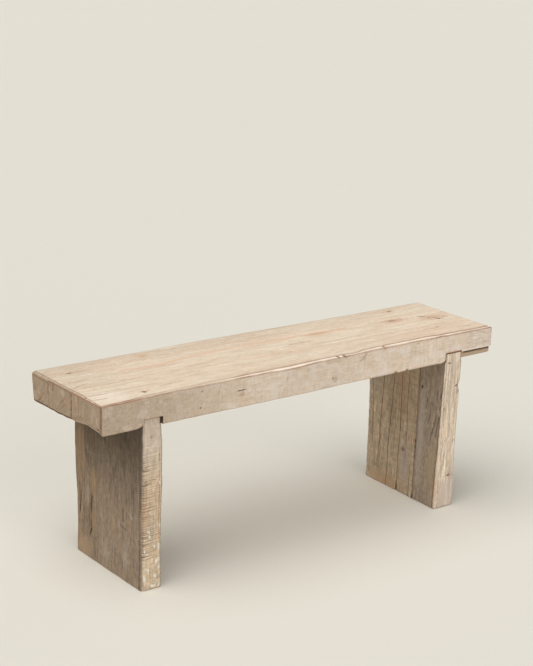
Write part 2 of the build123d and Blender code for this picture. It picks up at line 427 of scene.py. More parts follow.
def seat_wood(name, board, pith, seed, knots=()):
    """The bleached softwood of the seat: cream and peach grain where it is sanded, pinkish grey and
    clouded where the old skin is left, and browner on the ends."""
    wood = Timber(name, board.grain, seed, board)
    aged = wood.mark("aged")
    end = wood.mark("end")
    wood.late = wood.rings(pith, 6, knots)
    wood.fibre = wood.noise((60, 1.5), 4, detail=3, rough=0.7)
    drift = wood.noise((260, 60), 6)
    wood.start((0.8, 0.668, 0.52))
    wood.fleck((0.715, 0.56, 0.42), 0.7, (420, 11), 5, 0.44, 0.64)
    wood.fleck((0.87, 0.76, 0.62), 0.75, (130, 15), 11, 0.5, 0.64)
    wood.fleck((0.775, 0.575, 0.425), 0.5, (320, 24), 7, 0.5, 0.68)
    wood.lay((0.585, 0.415, 0.29), wood.late * drift.between(0.25, 0.75) * 0.4)
    wood.fleck((0.58, 0.42, 0.3), 0.36, (80, 5), 16, 0.56, 0.65)
    wood.fleck((0.44, 0.3, 0.2), 0.4, (24, 3.4), 8, 0.62, 0.7)
    wood.fleck((0.92, 0.83, 0.7), 0.5, (44, 6), 17, 0.6, 0.68)
    wood.lay((0.735, 0.605, 0.485), aged * 0.85)
    wood.fleck((0.79, 0.69, 0.6), 0.7 * aged, (34, 40, 24), 9, 0.47, 0.64)
    wood.fleck((0.62, 0.475, 0.345), 0.55 * aged, (46, 24, 18), 10, 0.52, 0.68)
    wood.fleck((0.85, 0.745, 0.63), 0.45 * aged, (60, 4), 18, 0.56, 0.66)
    wood.fleck((0.54, 0.41, 0.3), 0.4 * aged, (30, 3.4), 19, 0.6, 0.7)
    wood.fleck((0.4, 0.28, 0.19), 0.5 * aged, (5, 4), 12, 0.66, 0.74, 2)
    wood.lay((0.357, 0.267, 0.18), end * 0.94)
    wood.fleck((0.495, 0.385, 0.285), 0.7 * end, (30, 13, 30), 13, 0.48, 0.64)
    wood.fleck((0.27, 0.175, 0.11), 0.6 * end, (20, 5, 24), 14, 0.56, 0.69)
    wood.lay((0.25, 0.165, 0.105), end * wood.late * 0.12)
    wood.shade(1 + (wood.fibre - 0.5) * 0.36)
    wood.mottle((34, 8), 23, 0.3, 1 - aged)
    wood.mottle((7, 15, 8), 28, 0.3, 1 - aged)
    wood.mottle((13, 6), 24, 0.3, aged)
    wood.mottle((30, 9, 12), 25, 0.5, end)
    wood.shade(1 + aged * (wood.noise((6, 60), 15, detail=3) - 0.5) * 0.22)
    return wood


def wear(wood, pale, brown):
    """What use leaves on a board, from its own marks, with painted light and shade among it: pale rubbed
    arrises that are in places a painted highlight, brown lines along their borders that are in places
    a painted shadow line, and dirt in nail holes, checks and joints, with painted shadow lines where
    the check mark is laid along shaded edges."""
    # Painted highlight and shade: the rub mark is partly a painted highlight, and the brink and check marks
    # are partly painted shadow lines.
    wood.lay(pale, wood.mark("rub_and_highlight") * 0.9)
    wood.lay(brown, wood.mark("brink_and_shade"))
    wood.lay((0.085, 0.052, 0.034), wood.mark("check").between(0.12, 0.8) * 0.92)


left_low, left_high = (np.array(corner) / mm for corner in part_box("left_leg_front_board"))
right_low, right_high = (np.array(corner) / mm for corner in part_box("right_leg_front_board"))
left_shoulder, left_play, right_shoulder, right_play = 5.0, 1.0, 6.0, 3.0
left_housing = (left_low[0], left_high[0] - left_shoulder + left_play)
right_housing = (right_low[0] + right_shoulder - right_play, right_high[0])
gap_over_left, gap_over_right = 1.3, 0.7
left_mouth, right_mouth = (28.0, 9.0), (15.0, 5.5)
left_lip, right_lip = 3.4, 8.0


def cut_housings(board):
    """Raise the underside over both legs, a hair above their tops, and let it curve up to the worn mouth
    of each housing along a quarter of an ellipse. The cut faces are dark with old dirt."""
    x = board.at(0)
    under = board.low[2] / mm
    depth = np.zeros(len(x))
    floors = (left_high[2] + gap_over_left, right_high[2] + gap_over_right)
    for (near, far), floor, lip in zip((left_housing, right_housing), floors, (left_lip, right_lip)):
        inside = (x > near) & (x < far)
        depth = np.where(inside, floor - under, depth)
        walled = (x > near - 0.1) & (x < far + 0.1)
        board.note("check", walled * board.on("under"))
        board.note("brink_and_shade", inside * board.on("front") * (1 - ease(0.4 * lip, lip, board.reach("under"))))
    for wall, (length, rise) in ((left_housing[0], left_mouth), (right_housing[0], right_mouth)):
        off = np.clip((x - (wall - length)) / length, 0, 1)
        curve = rise * (1 - np.sqrt(1 - off**2))
        depth = np.where(x < wall, np.maximum(depth, curve), depth)
    board.sink("under", depth)


def finish_seat(board, worn, wobble, shape, low_right, seed, sides, depth):
    """What the seat boards share: both ends worn over, brown where the left one cuts end grain, uneven
    faces, an underside that rises past the right leg and at the left end, housings and old skin. shape is
    the square and flat of the left arris, low_right the size of the lower right one, and depth is how far
    the sides wave in."""
    board.roll("left", "top", worn + wobble, *shape, brink_and_shade=0.95, wide=(1.6, 1.2))
    board.note("end", 0.55 * board.on("top") * (1 - ease(0.7 * worn, 1.05 * worn, board.reach("left"))))
    board.roll("right", "top", 2.8 + 0.8 * wobble, 1.5, brink_and_shade=0.5)
    board.roll("right", "under", low_right, 2)
    wave = 0.5 + 0.5 * board.noise((140, 40, 40), seed)
    board.sink("top", 0.3 * wave)
    for side in sides:
        board.sink(side, depth * wave)
    x, y = board.at(0), board.at(1)
    clear = (x > right_housing[1]) | (x < right_housing[0])
    right_rise = 1.5 * ease(0, 120, x) + 2.2 * (x > right_housing[1])
    left_rise = np.interp(y, [-28, -2, 32, 119], [5.0, 3.3, 2.0, 0.3])
    left_rise = left_rise * (1 - ease(0, 90, board.reach("left")))
    behind_front_board = y > -28.5
    board.sink("under", clear * (right_rise + left_rise * behind_front_board))
    cut_housings(board)
    board.note("aged", 1 - board.on("top"))


housing_marks = np.concatenate([
    beside([*left_housing, *right_housing]),
    (left_housing[0] - np.arange(1, 28, 2.6)) * mm,
    (right_housing[0] - np.arange(1, 15, 2)) * mm,
])

edge_nails = [(-305, 436), (-308, 399), (62, 402), (320, 442)]
seat_nails = [(452, -66), (-431, -107)]
rebate_top, rebate_in = 399.0, 6.0
sparse = (-1.3, -0.7, 0, 0.7, 1.3)

board = Board(
    "top_front_board", grain=0, steps=(5.0, 4.4, 4.0),
    marks=(
        [
            housing_marks,
            beside([right_high[0]]),
            around([nail[0] for nail in edge_nails + seat_nails], 2.6, sparse),
            around([216, 253, -199], 4.0, sparse),
        ],
        [around([nail[1] for nail in seat_nails], 2.6, sparse), around([-79, -131], 3.0)],
        [
            around([nail[1] for nail in edge_nails], 2.6, sparse),
            around([420.5], 1.4),
            around([rebate_top - 3, rebate_top + 2], 1.6),
            beside([rebate_top]),
        ],
    ),
)
run = board.at(0)
wobble = board.noise((24, 400, 400), 21) + 0.6 * board.noise((8, 400, 400), 28)
worn_at = [-563, -480, -400, -240, -215, 110, 122, 144, 156, 470, 500, 563]
worn_by = [2.0, 3.0, 9.0, 12.0, 13.0, 14.5, 9.0, 9.0, 14.5, 14.0, 13.0, 12.0]
arris = np.interp(run, worn_at, worn_by) * (1 + 0.1 * wobble) - 6.0 * bell(run, 216, 4)
bevel = np.interp(run, [-563, -470, -400], [0.9, 0.5, 0.1]) * (1 + 0.5 * wobble)
bevel = bevel + 0.15 * bell(run, -60, 50)
# The pale band along the front arris is partly paler rubbed wood and partly a painted highlight, and its
# brown border lines are partly painted shade.
worn_highlight = ease(-300, -180, run) * (1 - 0.5 * ease(470, 500, run))
worn_highlight = worn_highlight * (0.9 + 0.35 * board.noise((18, 400, 400), 22))
lined_at = [-470, -400, -250, -190, -20, 40, 290, 350]
lined = np.interp(run, lined_at, [0.85, 0.45, 0.5, 0.75, 0.85, 0.72, 0.72, 0.9])
lined = lined * (0.85 + 0.35 * board.noise((22, 400, 400), 23))
board.roll("front", "top", arris, 1.15, bevel, rub_and_highlight=worn_highlight, brink_and_shade=lined, wide=(1.4, 4.2))
low_worn = 1.8 + 0.7 * wobble + 3.6 * bell(run, 253, 4) + 3.0 * bell(run, 288, 3)
board.roll("front", "under", low_worn, 1.6, brink_and_shade=0.35)
end_wobble = board.noise((400, 18, 400), 24) + 0.5 * board.noise((400, 6, 400), 29)
end_worn = np.interp(board.at(1), [-142, -109, -82, -72, -28], [2.0, 4.2, 5.0, 8.0, 7.4])
rough_sides = ("front", "under", "left", "right")
finish_seat(
    board, end_worn, end_wobble, shape=(1.1, 0.5), low_right=7.5, seed=27, sides=rough_sides, depth=0.5
)
corner = 2.2 + 0.5 * board.noise((400, 400, 12), 25)
board.roll("left", "front", corner, 1.6, brink_and_shade=1, wide=(1.3, 1.1))
low_corner = 2.4 + 4.0 * (1 - ease(0, 22, board.reach("front")))
board.roll("left", "under", low_corner, 1.6, brink_and_shade=0.8, wide=(1.4, 0.5))
board.roll("right", "front", 1.3 + 0.6 * board.noise((400, 400, 12), 26), 1.8, brink_and_shade=0.5)
board.seam("back", "left", 0.9, 0.9)
board.push("right", -1.4 * (1 - ease(0, 40, board.reach("right"))))
by_left_corner = (1 - ease(0, 75, board.reach("front"))) * (1 - ease(0, 60, board.reach("left")))
board.push("left", 3.2 * by_left_corner)
brow_at = [-563, -420, -60, 24, 112, 203, 355, 416, 492]
brow = np.interp(run, brow_at, [2.4, 0, 0.4, -0.8, -0.8, -3.2, -3.4, -1.4, -0.8])
board.sink("top", brow * (1 - ease(0, 70, board.reach("front"))))
for x, z in edge_nails:
    board.pit("front", (x, z), (2.6, 2.6), 4, 0.75)
for x, y in seat_nails:
    board.pit("top", (x, y), (6, 6.5), 2.5, 0.75)
board.pit("top", (-557, -79), (4.5, 3.5), 2.5, 0.9)
board.pit("left", (-131, 385), (5, 3.6), 3, 0.9)
board.slit("front", 420.5, -214, -183, 2.4, 4, taper=8)
board.pit("front", (75, 391), (1.6, 5), 2.5, 0.7)
past_leg = run > right_high[0]
below = rebate_top - board.at(2)
board.sink("front", rebate_in * past_leg * (below > 0))
past_leg = past_leg * board.on("front")
# Painted shadow: a dark line on the set-back strip just under the rebate's ledge, and above it a painted
# highlight along the ledge's lower arris.
line = (0.25 + 0.75 * ease(468, 486, run)) * (1 - ease(4.4, 7.0, below))
board.note("check", past_leg * (below > 0) * line)
board.note("rub_and_highlight", past_leg * bell(below, -2, 1.5) * 0.55)
hollow = np.interp(board.at(1), [-141, -131, -100, -65, -41, -28], [3, 9, 13, 17, 11, 8])
board.sink("under", np.maximum(hollow - 0.9 * board.reach("left"), 0))

wood = seat_wood(
    "front_seat_wood", board, pith=(-60, 250), seed=1,
    knots=[((-199, -142, 418), (34, 30, 16), 9.0), ((-431, -107, 450), (26, 9, 16), 5.0)],
)
reddish = (0.46, 0.28, 0.175)
umber = (0.24, 0.155, 0.1)
skin = wood.mark("aged") * (1 - wood.mark("end"))
left_part = wood.along.between(-80, -480)
wood.lay((0.58, 0.435, 0.305), skin * left_part * 0.55)
wood.shade(1 - skin * left_part * 0.22 - skin * wood.along.between(-480, -556) * 0.08)
lilac = wood.flecks((44, 40, 30), 20, 0.5, 0.64)
wood.lay((0.63, 0.52, 0.44), skin * wood.along.between(-180, -330) * lilac * 0.6)
wood.lay((0.8, 0.72, 0.655), skin * wood.along.between(-330, -180) * lilac * 0.55)
right_skin = skin * wood.along.between(455, 490)
wood.lay((0.68, 0.575, 0.49), right_skin * 0.75)
wood.fleck((0.88, 0.81, 0.735), 0.5 * right_skin, (26, 5), 21, 0.54, 0.66)
wood.fleck((0.6, 0.5, 0.415), 0.4 * right_skin, (13, 5), 22, 0.58, 0.7)
wood.face("front", 10)
wood.stain((0.5, 0.35, 0.245), 0.7, (-199, 412), (13, 9))
wood.stain((0.47, 0.34, 0.24), 0.55, (66, 400), (12, 12), 0.6)
wood.stain(reddish, 0.5, (-432, 390), (16, 14), 0.7)
wood.score((0.46, 0.33, 0.235), 0.5, 3.4, (-256, 446), (-261, 424))
wood.score((0.46, 0.33, 0.235), 0.55, 3.4, (-70, 436), (-78, 408), (-84, 388))
wood.mottle((7, 6), 28, 0.6, skin * left_part)
middle_part = wood.along.between(-180, -60) * wood.along.between(200, 90)
wood.shade(1 - skin * middle_part * 0.06)
wood.mottle((3.6, 60, 40), 29, 0.3, skin)
wood.score((0.5, 0.35, 0.245), 0.65, 9, (158, 449), (152, 438), (142, 432))
wood.face("top")
wood.stain((0.78, 0.57, 0.43), 0.45, (370, -96), (240, 40), 0.9)
wood.face("top", 7)
wood.stain((0.44, 0.25, 0.155), 0.85, (-431, -107), (15, 7))
wood.stain((0.92, 0.83, 0.7), 0.6, (-515, -100), (70, 42), 0.8)
for start, stop in (
    ((-551, -75), (-508, -78)), ((-556, -100), (-520, -104)),
    ((-468, -130), (-420, -129)), ((-380, -94), (-320, -90)),
    ((404, -70), (436, -74)), ((490, -98), (530, -101)),
):
    wood.score((0.47, 0.29, 0.185), 0.55, 6, start, stop)
wood.face("left", 8)
wood.score((0.32, 0.18, 0.11), 0.6, 9, (-55, 446), (-57, 412))
wood.score(reddish, 0.5, 9, (-38, 444), (-40, 412))
wood.score(umber, 0.6, 3.6, (-46, 401), (-86, 404), (-104, 401), (-131, 394))
wood.stain((0.5, 0.41, 0.32), 0.5, (-116, 426), (16, 16), 0.7)
wood.stain(umber, 0.8, (-131, 396), (7, 5))
grain_up = wood.along.between(230, 330) * wood.along.between(480, 440)
wood.mottle((4.5, 40), 26, 0.5, skin * grain_up)
wood.mottle((22, 5.5), 27, 1.1, right_skin)
below_rebate = wood.deep.between(rebate_top + 0.4, rebate_top - 0.4)
wood.lay((0.5, 0.365, 0.245), skin * below_rebate * wood.along.between(465, 467) * 0.9)
wear(wood, (1.0, 0.89, 0.76), (0.31, 0.15, 0.08))
for x, y, z, wide in ((78, -134, 450, 5), (97, -136, 449, 6), (253, -141, 383, 8), (289, -141, 383, 7)):
    wood.stain((0.22, 0.11, 0.065), 0.95, (x, y, z), (wide, 12, 7))
wood.face("top", 7)
wood.stain((0.42, 0.215, 0.125), 0.9, (216, -136), (6, 9))
wood.score((0.2, 0.128, 0.085), 0.8, 8, (-560, -141, 446), (-560, -141, 384))

plank = board.piece("front_seat_plank", wood.close(0.78, 0.5, 0.6))
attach(plank, "root")
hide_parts("top_front_board")

# Middle seat board
# The second board, glued and dowelled between the other two. It carries the red heart streak of the
# tree along its length, and a knot and a torn patch near the right end.

board = Board(
    "top_middle_board", grain=0, steps=(3.6, 2.8, 3.0),
    marks=([housing_marks, around([391, 486, 497, 508], 4)], [around([33, 23, 8, -12], 2)], []),
)
end_wobble = board.noise((400, 18, 400), 32) + 0.5 * board.noise((400, 6, 400), 33)
rough_sides = ("under", "left", "right")
finish_seat(board, 6.0, end_wobble, shape=(1.1, 0.6), low_right=3.5, seed=36, sides=rough_sides, depth=0.5)
# Painted shadow: a dark band on the left end along its rounded lower arris, with a dark line along that
# arris.
board.note("check", 0.7 * board.on("left") * (1 - ease(3.8, 7.4, board.reach("under"))))
board.roll("left", "under", 3.4 + end_wobble, 1.6, brink_and_shade=0.95, wide=(1.8, 0.5))
for side in ("front", "back"):
    board.seam(side, "left", 0.9, 0.9)
    board.seam(side, "right", 0.7, 0.7, 0.8)
for x, y, half in ((480, 24, 10), (493, 10, 5), (507, -12, 8)):
    board.pit("top", (x, y), (half, 4.5), 1.6, 0.8)
board.pit("left", (-26, 404), (3.4, 6), 5)

wood = seat_wood(
    "middle_seat_wood", board, pith=(20, 290), seed=2,
    knots=[((391, 33, 450), (40, 16, 20), 8.0), ((160, 41, 450), (60, 10, 20), 4.0)],
)
heart = ((-400, 40), (-307, 30), (-238, 43), (-150, 51), (100, 50), (166, 40), (236, 38))
wood.face("top")
wood.score((0.82, 0.585, 0.425), 0.6, 20, *heart)
wood.score((0.7, 0.465, 0.315), 0.5, 7, *heart)
wood.shade(1 - wood.along.between(-380, -490) * (1 - wood.mark("aged")) * 0.06)
wood.stain((0.67, 0.425, 0.27), 0.9, (155, 40), (56, 14), 0.5)
wood.stain((0.6, 0.4, 0.275), 0.8, (393, 30), (54, 18), 0.7)
wood.stain((0.36, 0.22, 0.14), 0.75, (386, 32), (18, 8))
wood.stain((0.64, 0.43, 0.295), 0.75, (498, 4), (54, 26), 0.9)
dark_tear = (0.36, 0.205, 0.125)
wood.score(dark_tear, 0.85, 8, (470, 26), (488, 21))
wood.score(dark_tear, 0.7, 7, (486, 12), (500, 2), (506, -4))
wood.score(dark_tear, 0.85, 6, (529, -4), (538, -8))
wood.score(dark_tear, 0.7, 6, (553, -18), (563, -25))
wood.score(dark_tear, 0.9, 8, (499, -7), (515, -17))
for start, stop in (
    ((-551, -14), (-511, 1)), ((-540, 22), (-490, 24)),
    ((-430, 58), (-406, 53)), ((372, -10), (392, -11)),
    ((40, 3), (110, -1)), ((-260, -12), (-190, -14)),
):
    wood.score((0.47, 0.29, 0.185), 0.5, 6, start, stop)
seam_red = (0.3, 0.15, 0.085)
wood.face("left", 8)
wood.score(seam_red, 0.8, 5.5, (70, 450), (70, 424))
wood.score(seam_red, 0.35, 4.5, (70, 424), (70, 384))
wood.score(umber, 0.6, 4, (69, 421), (67, 386))
wood.score(umber, 0.8, 7, (49, 446), (50, 431))
wood.score((0.2, 0.125, 0.08), 0.65, 4, (31, 394), (19, 411), (-1, 427))
wood.score((0.2, 0.125, 0.08), 0.6, 4, (21, 396), (9, 406), (-6, 413))
wood.stain((0.5, 0.42, 0.345), 0.5, (12, 438), (18, 12), 0.7)
wood.stain(reddish, 0.5, (-10, 420), (14, 20), 0.6)
wood.score((0.13, 0.08, 0.05), 0.95, 5.4, (-27, 449), (-27, 388))
wear(wood, (0.92, 0.78, 0.63), (0.25, 0.15, 0.092))

plank = board.piece("middle_seat_plank", wood.close(0.78, 0.5, 0.6))
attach(plank, "root")
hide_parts("top_middle_board")

# Rear seat board
# The narrow third board. Its back edge was left waney and leans in towards the underside, and its
# corners are rubbed round.

board = Board(
    "top_rear_board", grain=0, steps=(3.2, 2.6, 2.8),
    marks=([housing_marks, around([-504, 439], 4)], [around([84, 100], 2)], []),
)
back_run = board.noise((30, 400, 400), 41)
board.roll("back", "top", 3 + 1.2 * back_run, 1.5, brink_and_shade=0.5, wide=(0.9, 1.6))
board.roll("back", "under", 7 + 2 * back_run, 1.8)
end_wobble = board.noise((400, 18, 400), 42)
rough_sides = ("under", "left", "right", "back")
finish_seat(board, 6.0, end_wobble, shape=(1.2, 1.1), low_right=3.5, seed=46, sides=rough_sides, depth=0.4)
# Painted shadow: a dark band on the left end along its rounded lower arris, with a dark line along that
# arris.
board.note("check", 0.7 * board.on("left") * (1 - ease(4.4, 8, board.reach("under"))))
board.roll("left", "under", 5 + end_wobble, 1.8, brink_and_shade=0.95, wide=(1.8, 0.5))
board.roll("left", "back", 1.4, 2, brink_and_shade=0.9, wide=(2.2, 0.6))
board.roll("right", "back", 3.5, 2)
board.seam("front", "left", 0.9, 0.7, 0.8)
board.seam("front", "right", 0.7, 0.7, 0.8)
lean = 8.0 * np.clip((436 - board.at(2)) / 55, 0, 1)
taper_at = [-563, -466, -403, -269, -129, 15, 165, 320, 486]
taper = np.interp(board.at(0), taper_at, [-0.6, 0, 2.6, 1.8, 0.6, 3.4, 6.4, 10.6, 11.6])
board.sink("back", lean + taper)
board.pit("top", (-504, 84), (11, 2.4), 1.6, 0.7)
board.pit("top", (439, 100), (4, 2.2), 1.4, 0.8)

wood = seat_wood(
    "rear_seat_wood", board, pith=(130, 300), seed=4,
    knots=[((-504, 84, 450), (40, 12, 20), 6.0), ((-297, 110, 450), (26, 14, 20), 5.0)],
)
rear_top = 1.0 - wood.mark("aged")
wood.shade(1 - rear_top * (0.03 + wood.across.between(76, 128) * 0.06))
wood.shade(1 - rear_top * wood.along.between(-380, -490) * 0.05)
wood.face("top")
wood.stain((0.6, 0.42, 0.29), 0.7, (-490, 84), (60, 6), 0.6)
wood.stain((0.34, 0.21, 0.135), 0.9, (-503, 84), (14, 5))
wood.stain((0.64, 0.41, 0.26), 0.75, (-297, 110), (20, 12))
wood.stain((0.64, 0.44, 0.3), 0.65, (-394, 111), (24, 8))
wood.stain((0.62, 0.43, 0.3), 0.6, (430, 102), (50, 8), 0.6)
wood.stain((0.33, 0.23, 0.16), 0.9, (439, 100), (12, 7))
wood.face("left", 8)
wood.score((0.2, 0.115, 0.072), 0.7, 4.5, (72, 447), (72, 418))
wood.score((0.18, 0.11, 0.07), 0.75, 5.5, (92, 413), (106, 396), (117, 388))
wood.score((0.18, 0.11, 0.07), 0.6, 4, (86, 396), (108, 386))
wood.stain(reddish, 0.5, (96, 402), (12, 12), 0.6)
wood.stain(umber, 0.6, (127, 416), (7, 10), 0.6)
wear(wood, (0.92, 0.78, 0.63), (0.25, 0.15, 0.092))

plank = board.piece("rear_seat_plank", wood.close(0.78, 0.5, 0.6))
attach(plank, "root")
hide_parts("top_rear_board")

# Left leg
# Two upright boards glued edge to edge, with the grain standing up. The faces are weathered grey-brown
# skin, fissured at the back, and the front edge is fresh from a frame saw and flecked with plaster.


def leg_wood(name, board, pith, seed, skin, fresh, dirt, painted_shade_under_seat, knots=()):
    """Weathered leg timber: skin on the aged faces and sawn wood on the edges, in streaks and fibres
    along the grain, blotched, specked with dirt, and darker towards the seat by painted shade, by the
    given share."""
    wood = Timber(name, board.grain, seed, board)
    aged = wood.mark("aged")
    pale = tuple(1.35 * part for part in skin)
    tan = tuple(0.78 * part for part in fresh)
    crust = tuple(0.55 * part for part in dirt)
    wood.late = wood.rings(pith, 6.5, knots)
    wood.fibre = wood.noise((70, 1.7), 4, detail=4, rough=0.7)
    wood.start(fresh)
    wood.fleck(tan, 0.7, (120, 5), 5, 0.46, 0.64)
    wood.fleck((0.55, 0.46, 0.39), 0.6, (90, 6), 16, 0.54, 0.66)
    wood.lay(tan, wood.late * 0.3)
    wood.lay(skin, aged * 0.96)
    wood.fleck(pale, 0.45 * aged, (150, 12), 6, 0.48, 0.66)
    wood.fleck(dirt, 0.5 * aged, (110, 7), 7, 0.52, 0.68)
    wood.lay(dirt, aged * wood.late * 0.08)
    wood.fleck(dirt, 0.4 * aged, (60, 34), 8, 0.52, 0.7)
    wood.fleck(crust, 0.6 * aged, (30, 4.5), 9, 0.6, 0.68)
    wood.fleck(pale, 0.6 * aged, (40, 5), 17, 0.58, 0.67)
    wood.shade(1 + (wood.fibre - 0.5) * (0.35 + 0.4 * aged))
    wood.mottle((20, 6), 22, 1, aged)
    wood.mottle((11, 8), 24, 0.8, aged)
    # Painted shade: the aged faces darken towards the seat, as if in the shadow of its overhang.
    wood.shade(1 - aged * wood.along.between(120, 390) * painted_shade_under_seat)
    wood.lay(dirt, wood.mark("end") * 0.5)
    return wood


seat_under = round(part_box("top_front_board")[0].z / mm, 3)


def step_tongue(board, side, shoulder):
    """Set the inner cheek back above the underside of the seat, where the tongue starts."""
    board.sink(side, shoulder * (board.at(2) > seat_under))


def below_seat(board, heights, depths):
    """Depths for a side by height, that end under the seat so that the tongue fits its housing."""
    rise = board.at(2)
    return np.interp(rise, heights, depths) * (rise <= seat_under)


# Front board of the left leg
# The wide grey one. Its front edge keeps the marks of the saw blade, with specks of plaster in them.

saw_rng = np.random.default_rng(12)
saw_lines = np.cumsum(saw_rng.uniform(3.6, 7.4, 90)) + 70
saw_lines = saw_lines[saw_lines < 352]
saw_depth = saw_rng.uniform(0.4, 1.0, len(saw_lines)) * (1 - 0.6 * ease(265, 325, saw_lines))
saw_reach = saw_rng.uniform(-446, -404, len(saw_lines))
saw_pivot = -428.0

board = Board(
    "left_leg_front_board", grain=2, steps=(3.0, 4.2, 3.4),
    marks=(
        [around([-407.5], 1.2)],
        [around([-59, -47, -78], 1.0)],
        [around(saw_lines, 1.0, (-1.7, -0.9, 0, 0.9, 1.7)), beside([seat_under])],
    ),
)
rise = board.at(2)
fade = ease(20, -12, board.at(0)[:, None] - saw_reach)
teeth = bell(rise[:, None], saw_lines, 1.15) * saw_depth * (0.3 + 0.7 * fade)
tooth = np.minimum(teeth.sum(axis=1), 1)
tilt = 0.05 * ease(20, 70, rise) * (1 - ease(340, 376, rise))
board.spot[:, 2] += tilt * (board.plain[:, 0] - saw_pivot * mm)
leg_run = board.noise((400, 400, 18), 51)
rag = board.noise((400, 400, 7), 52)
# Painted shadow: a dark line along the outer face where it meets the worn left front arris.
arris_shadow = 0.75 + 0.25 * rag
board.roll("left", "front", 7 + 1.2 * leg_run + 1.6 * tooth, 1.1, brink_and_shade=arris_shadow, wide=(2.6, 0.0001))
board.roll("right", "front", 3 + 1.6 * rag, 1.5, rub_and_highlight=0.3, brink_and_shade=0.7, wide=(0.6, 1))
board.roll("left", "under", 2.2 + 0.9 * board.noise((400, 18, 400), 53), 1.6)
board.roll("right", "under", 3.5, 1.8)
board.roll("front", "under", 3.4 + 1.6 * board.noise((10, 400, 400), 54), 1.6)
board.seam("back", "left", 0.8, 0.35)
board.seam("back", "right", 0.8, 0.8)
board.roll("back", "under", 2.4, 1.4)
wave = 0.5 + 0.5 * board.noise((40, 30, 110), 56)
board.sink("left", 0.9 * wave)
inner_heights = [0, 20, 60, 170, 222, 240, 260, 300, 340, 375]
board.sink("right", below_seat(board, inner_heights, [0, 0, 1, 1.2, -1, -2.5, -0.6, -0.6, 0, 3]))
board.sink("right", 0.9 * wave)
board.sink("front", 0.9 * tooth + 0.5 * wave)
board.marks["saw"] = tooth * board.on("front")
board.pit("left", (-59, 155), (1.6, 12), 0.8, 0.6)
board.pit("left", (-62, 127), (18, 2.5), 0.8, 0.45)
step_tongue(board, "right", left_shoulder)
board.note("aged", board.on("left", "right"))
strip = 1 - ease(5.6, 8.2, board.reach("left") - 1.6 * tooth)
board.note("aged", board.on("front") * strip * 0.62)

fresh = (0.635, 0.487, 0.338)
wood = leg_wood(
    "left_leg_front_wood", board, pith=(-20, -300), seed=6,
    skin=(0.292, 0.22, 0.157), fresh=fresh, dirt=(0.185, 0.132, 0.09), painted_shade_under_seat=0.63,
    knots=[((-454, -22, 180), (20, 12, 40), 8.0)],
)
edge = wood.across.between(-131, -134)
wood.lay((0.62, 0.525, 0.435), edge * wood.along.between(230, 350) * 0.8)
saw = wood.mark("saw")
ridge = saw.between(0.2, 0.02) * edge * wood.along.between(345, 320)
wood.fleck((0.8, 0.665, 0.5), 0.6 * ridge, (9, 14), 18, 0.42, 0.6)
wood.lay((0.34, 0.23, 0.15), saw.between(0.15, 0.8) * 0.85)
# Painted shade: near black in the deepest saw kerfs beside the ragged left front arris.
kerf_shade = saw.between(0.35, 0.85) * wood.deep.between(-432, -445)
wood.lay((0.1, 0.068, 0.047), kerf_shade * 0.85)
wood.face("front", 8)
wood.stain((0.5, 0.315, 0.19), 0.55, (-446, -136, 175), (9, 8, 70), 0.8)
for z, x in ((290, -426), (281, -433), (257, -420), (251, -430)):
    wood.score((0.32, 0.215, 0.14), 0.85, 3, (-448, z - 2), (x, z))
wood.score((0.84, 0.74, 0.61), 0.8, 3.8, (-447, 334), (-415, 331))
wood.stain((0.4, 0.29, 0.22), 0.8, (-430, 356), (6.5, 6, 5.5))
wood.mottle((5, 7), 19, 0.5, edge)
wood.mottle((45, 5.5), 20, 0.8, edge)
plaster = wood.flecks((9, 7), 12, 0.62, 0.67)
wood.lay((0.88, 0.86, 0.81), plaster * edge * wood.along.between(260, 20) * 0.9)
for x, z, wide, tall in (
    (-425, 234, 4, 4), (-408, 246, 3, 8), (-408, 147, 4, 7), (-435, 137, 5, 6), (-433, 126, 5, 5),
    (-444, 93, 4, 6), (-439, 87, 4, 4), (-409, 98, 4, 12), (-413, 66, 6, 7), (-420, 100, 4, 4),
    (-447, 30, 5, 12), (-422, 9, 9, 5), (-417, 29, 5, 5), (-407, 10, 5, 9), (-436, 48, 4, 5),
    (-407, 50, 4, 10),
):
    wood.stain((0.88, 0.86, 0.81), 0.9, (x, -136, z), (wide, 6, tall), 0.8)
wood.score((0.4, 0.225, 0.13), 0.75, 4.2, (-409, -136, 327), (-409, -136, 215), (-410, -136, 110))
wood.score((0.8, 0.68, 0.53), 0.6, 4, (-404, -136, 350), (-404, -136, 225))
wood.face("left")
for y, z, wide, tall in ((-63, 274, 12, 24), (-23, 242, 10, 18), (30, 330, 24, 40), (-100, 215, 10, 26)):
    wood.stain((0.11, 0.08, 0.056), 0.5, (y, z), (wide, tall), 0.7)
wood.stain((0.36, 0.255, 0.15), 0.6, (-14, 120), (9, 46), 0.7)
wood.stain((0.24, 0.165, 0.105), 0.5, (24, 225), (24, 26), 0.8)
for y, z, wide, tall in ((-94, 161, 10, 9), (-72, 60, 16, 34), (10, 40, 18, 26)):
    wood.stain((0.44, 0.375, 0.31), 0.5, (y, z), (wide, tall), 0.8)
wood.score((0.07, 0.05, 0.036), 0.9, 6, (-59, 168), (-61, 142))
wood.score((0.12, 0.085, 0.06), 0.6, 4, (-47, 131), (-78, 123))
wood.score((0.55, 0.49, 0.42), 0.6, 4, (-85, 168), (-100, 158))
wear(wood, fresh, (0.10, 0.082, 0.066))

plank = board.piece("left_leg_front_plank", wood.close(0.82, 0.8, 0.65))
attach(plank, "root")
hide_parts("left_leg_front_board")

# Rear board of the left leg
# Narrower and browner, with short deep fissures that opened as it dried.

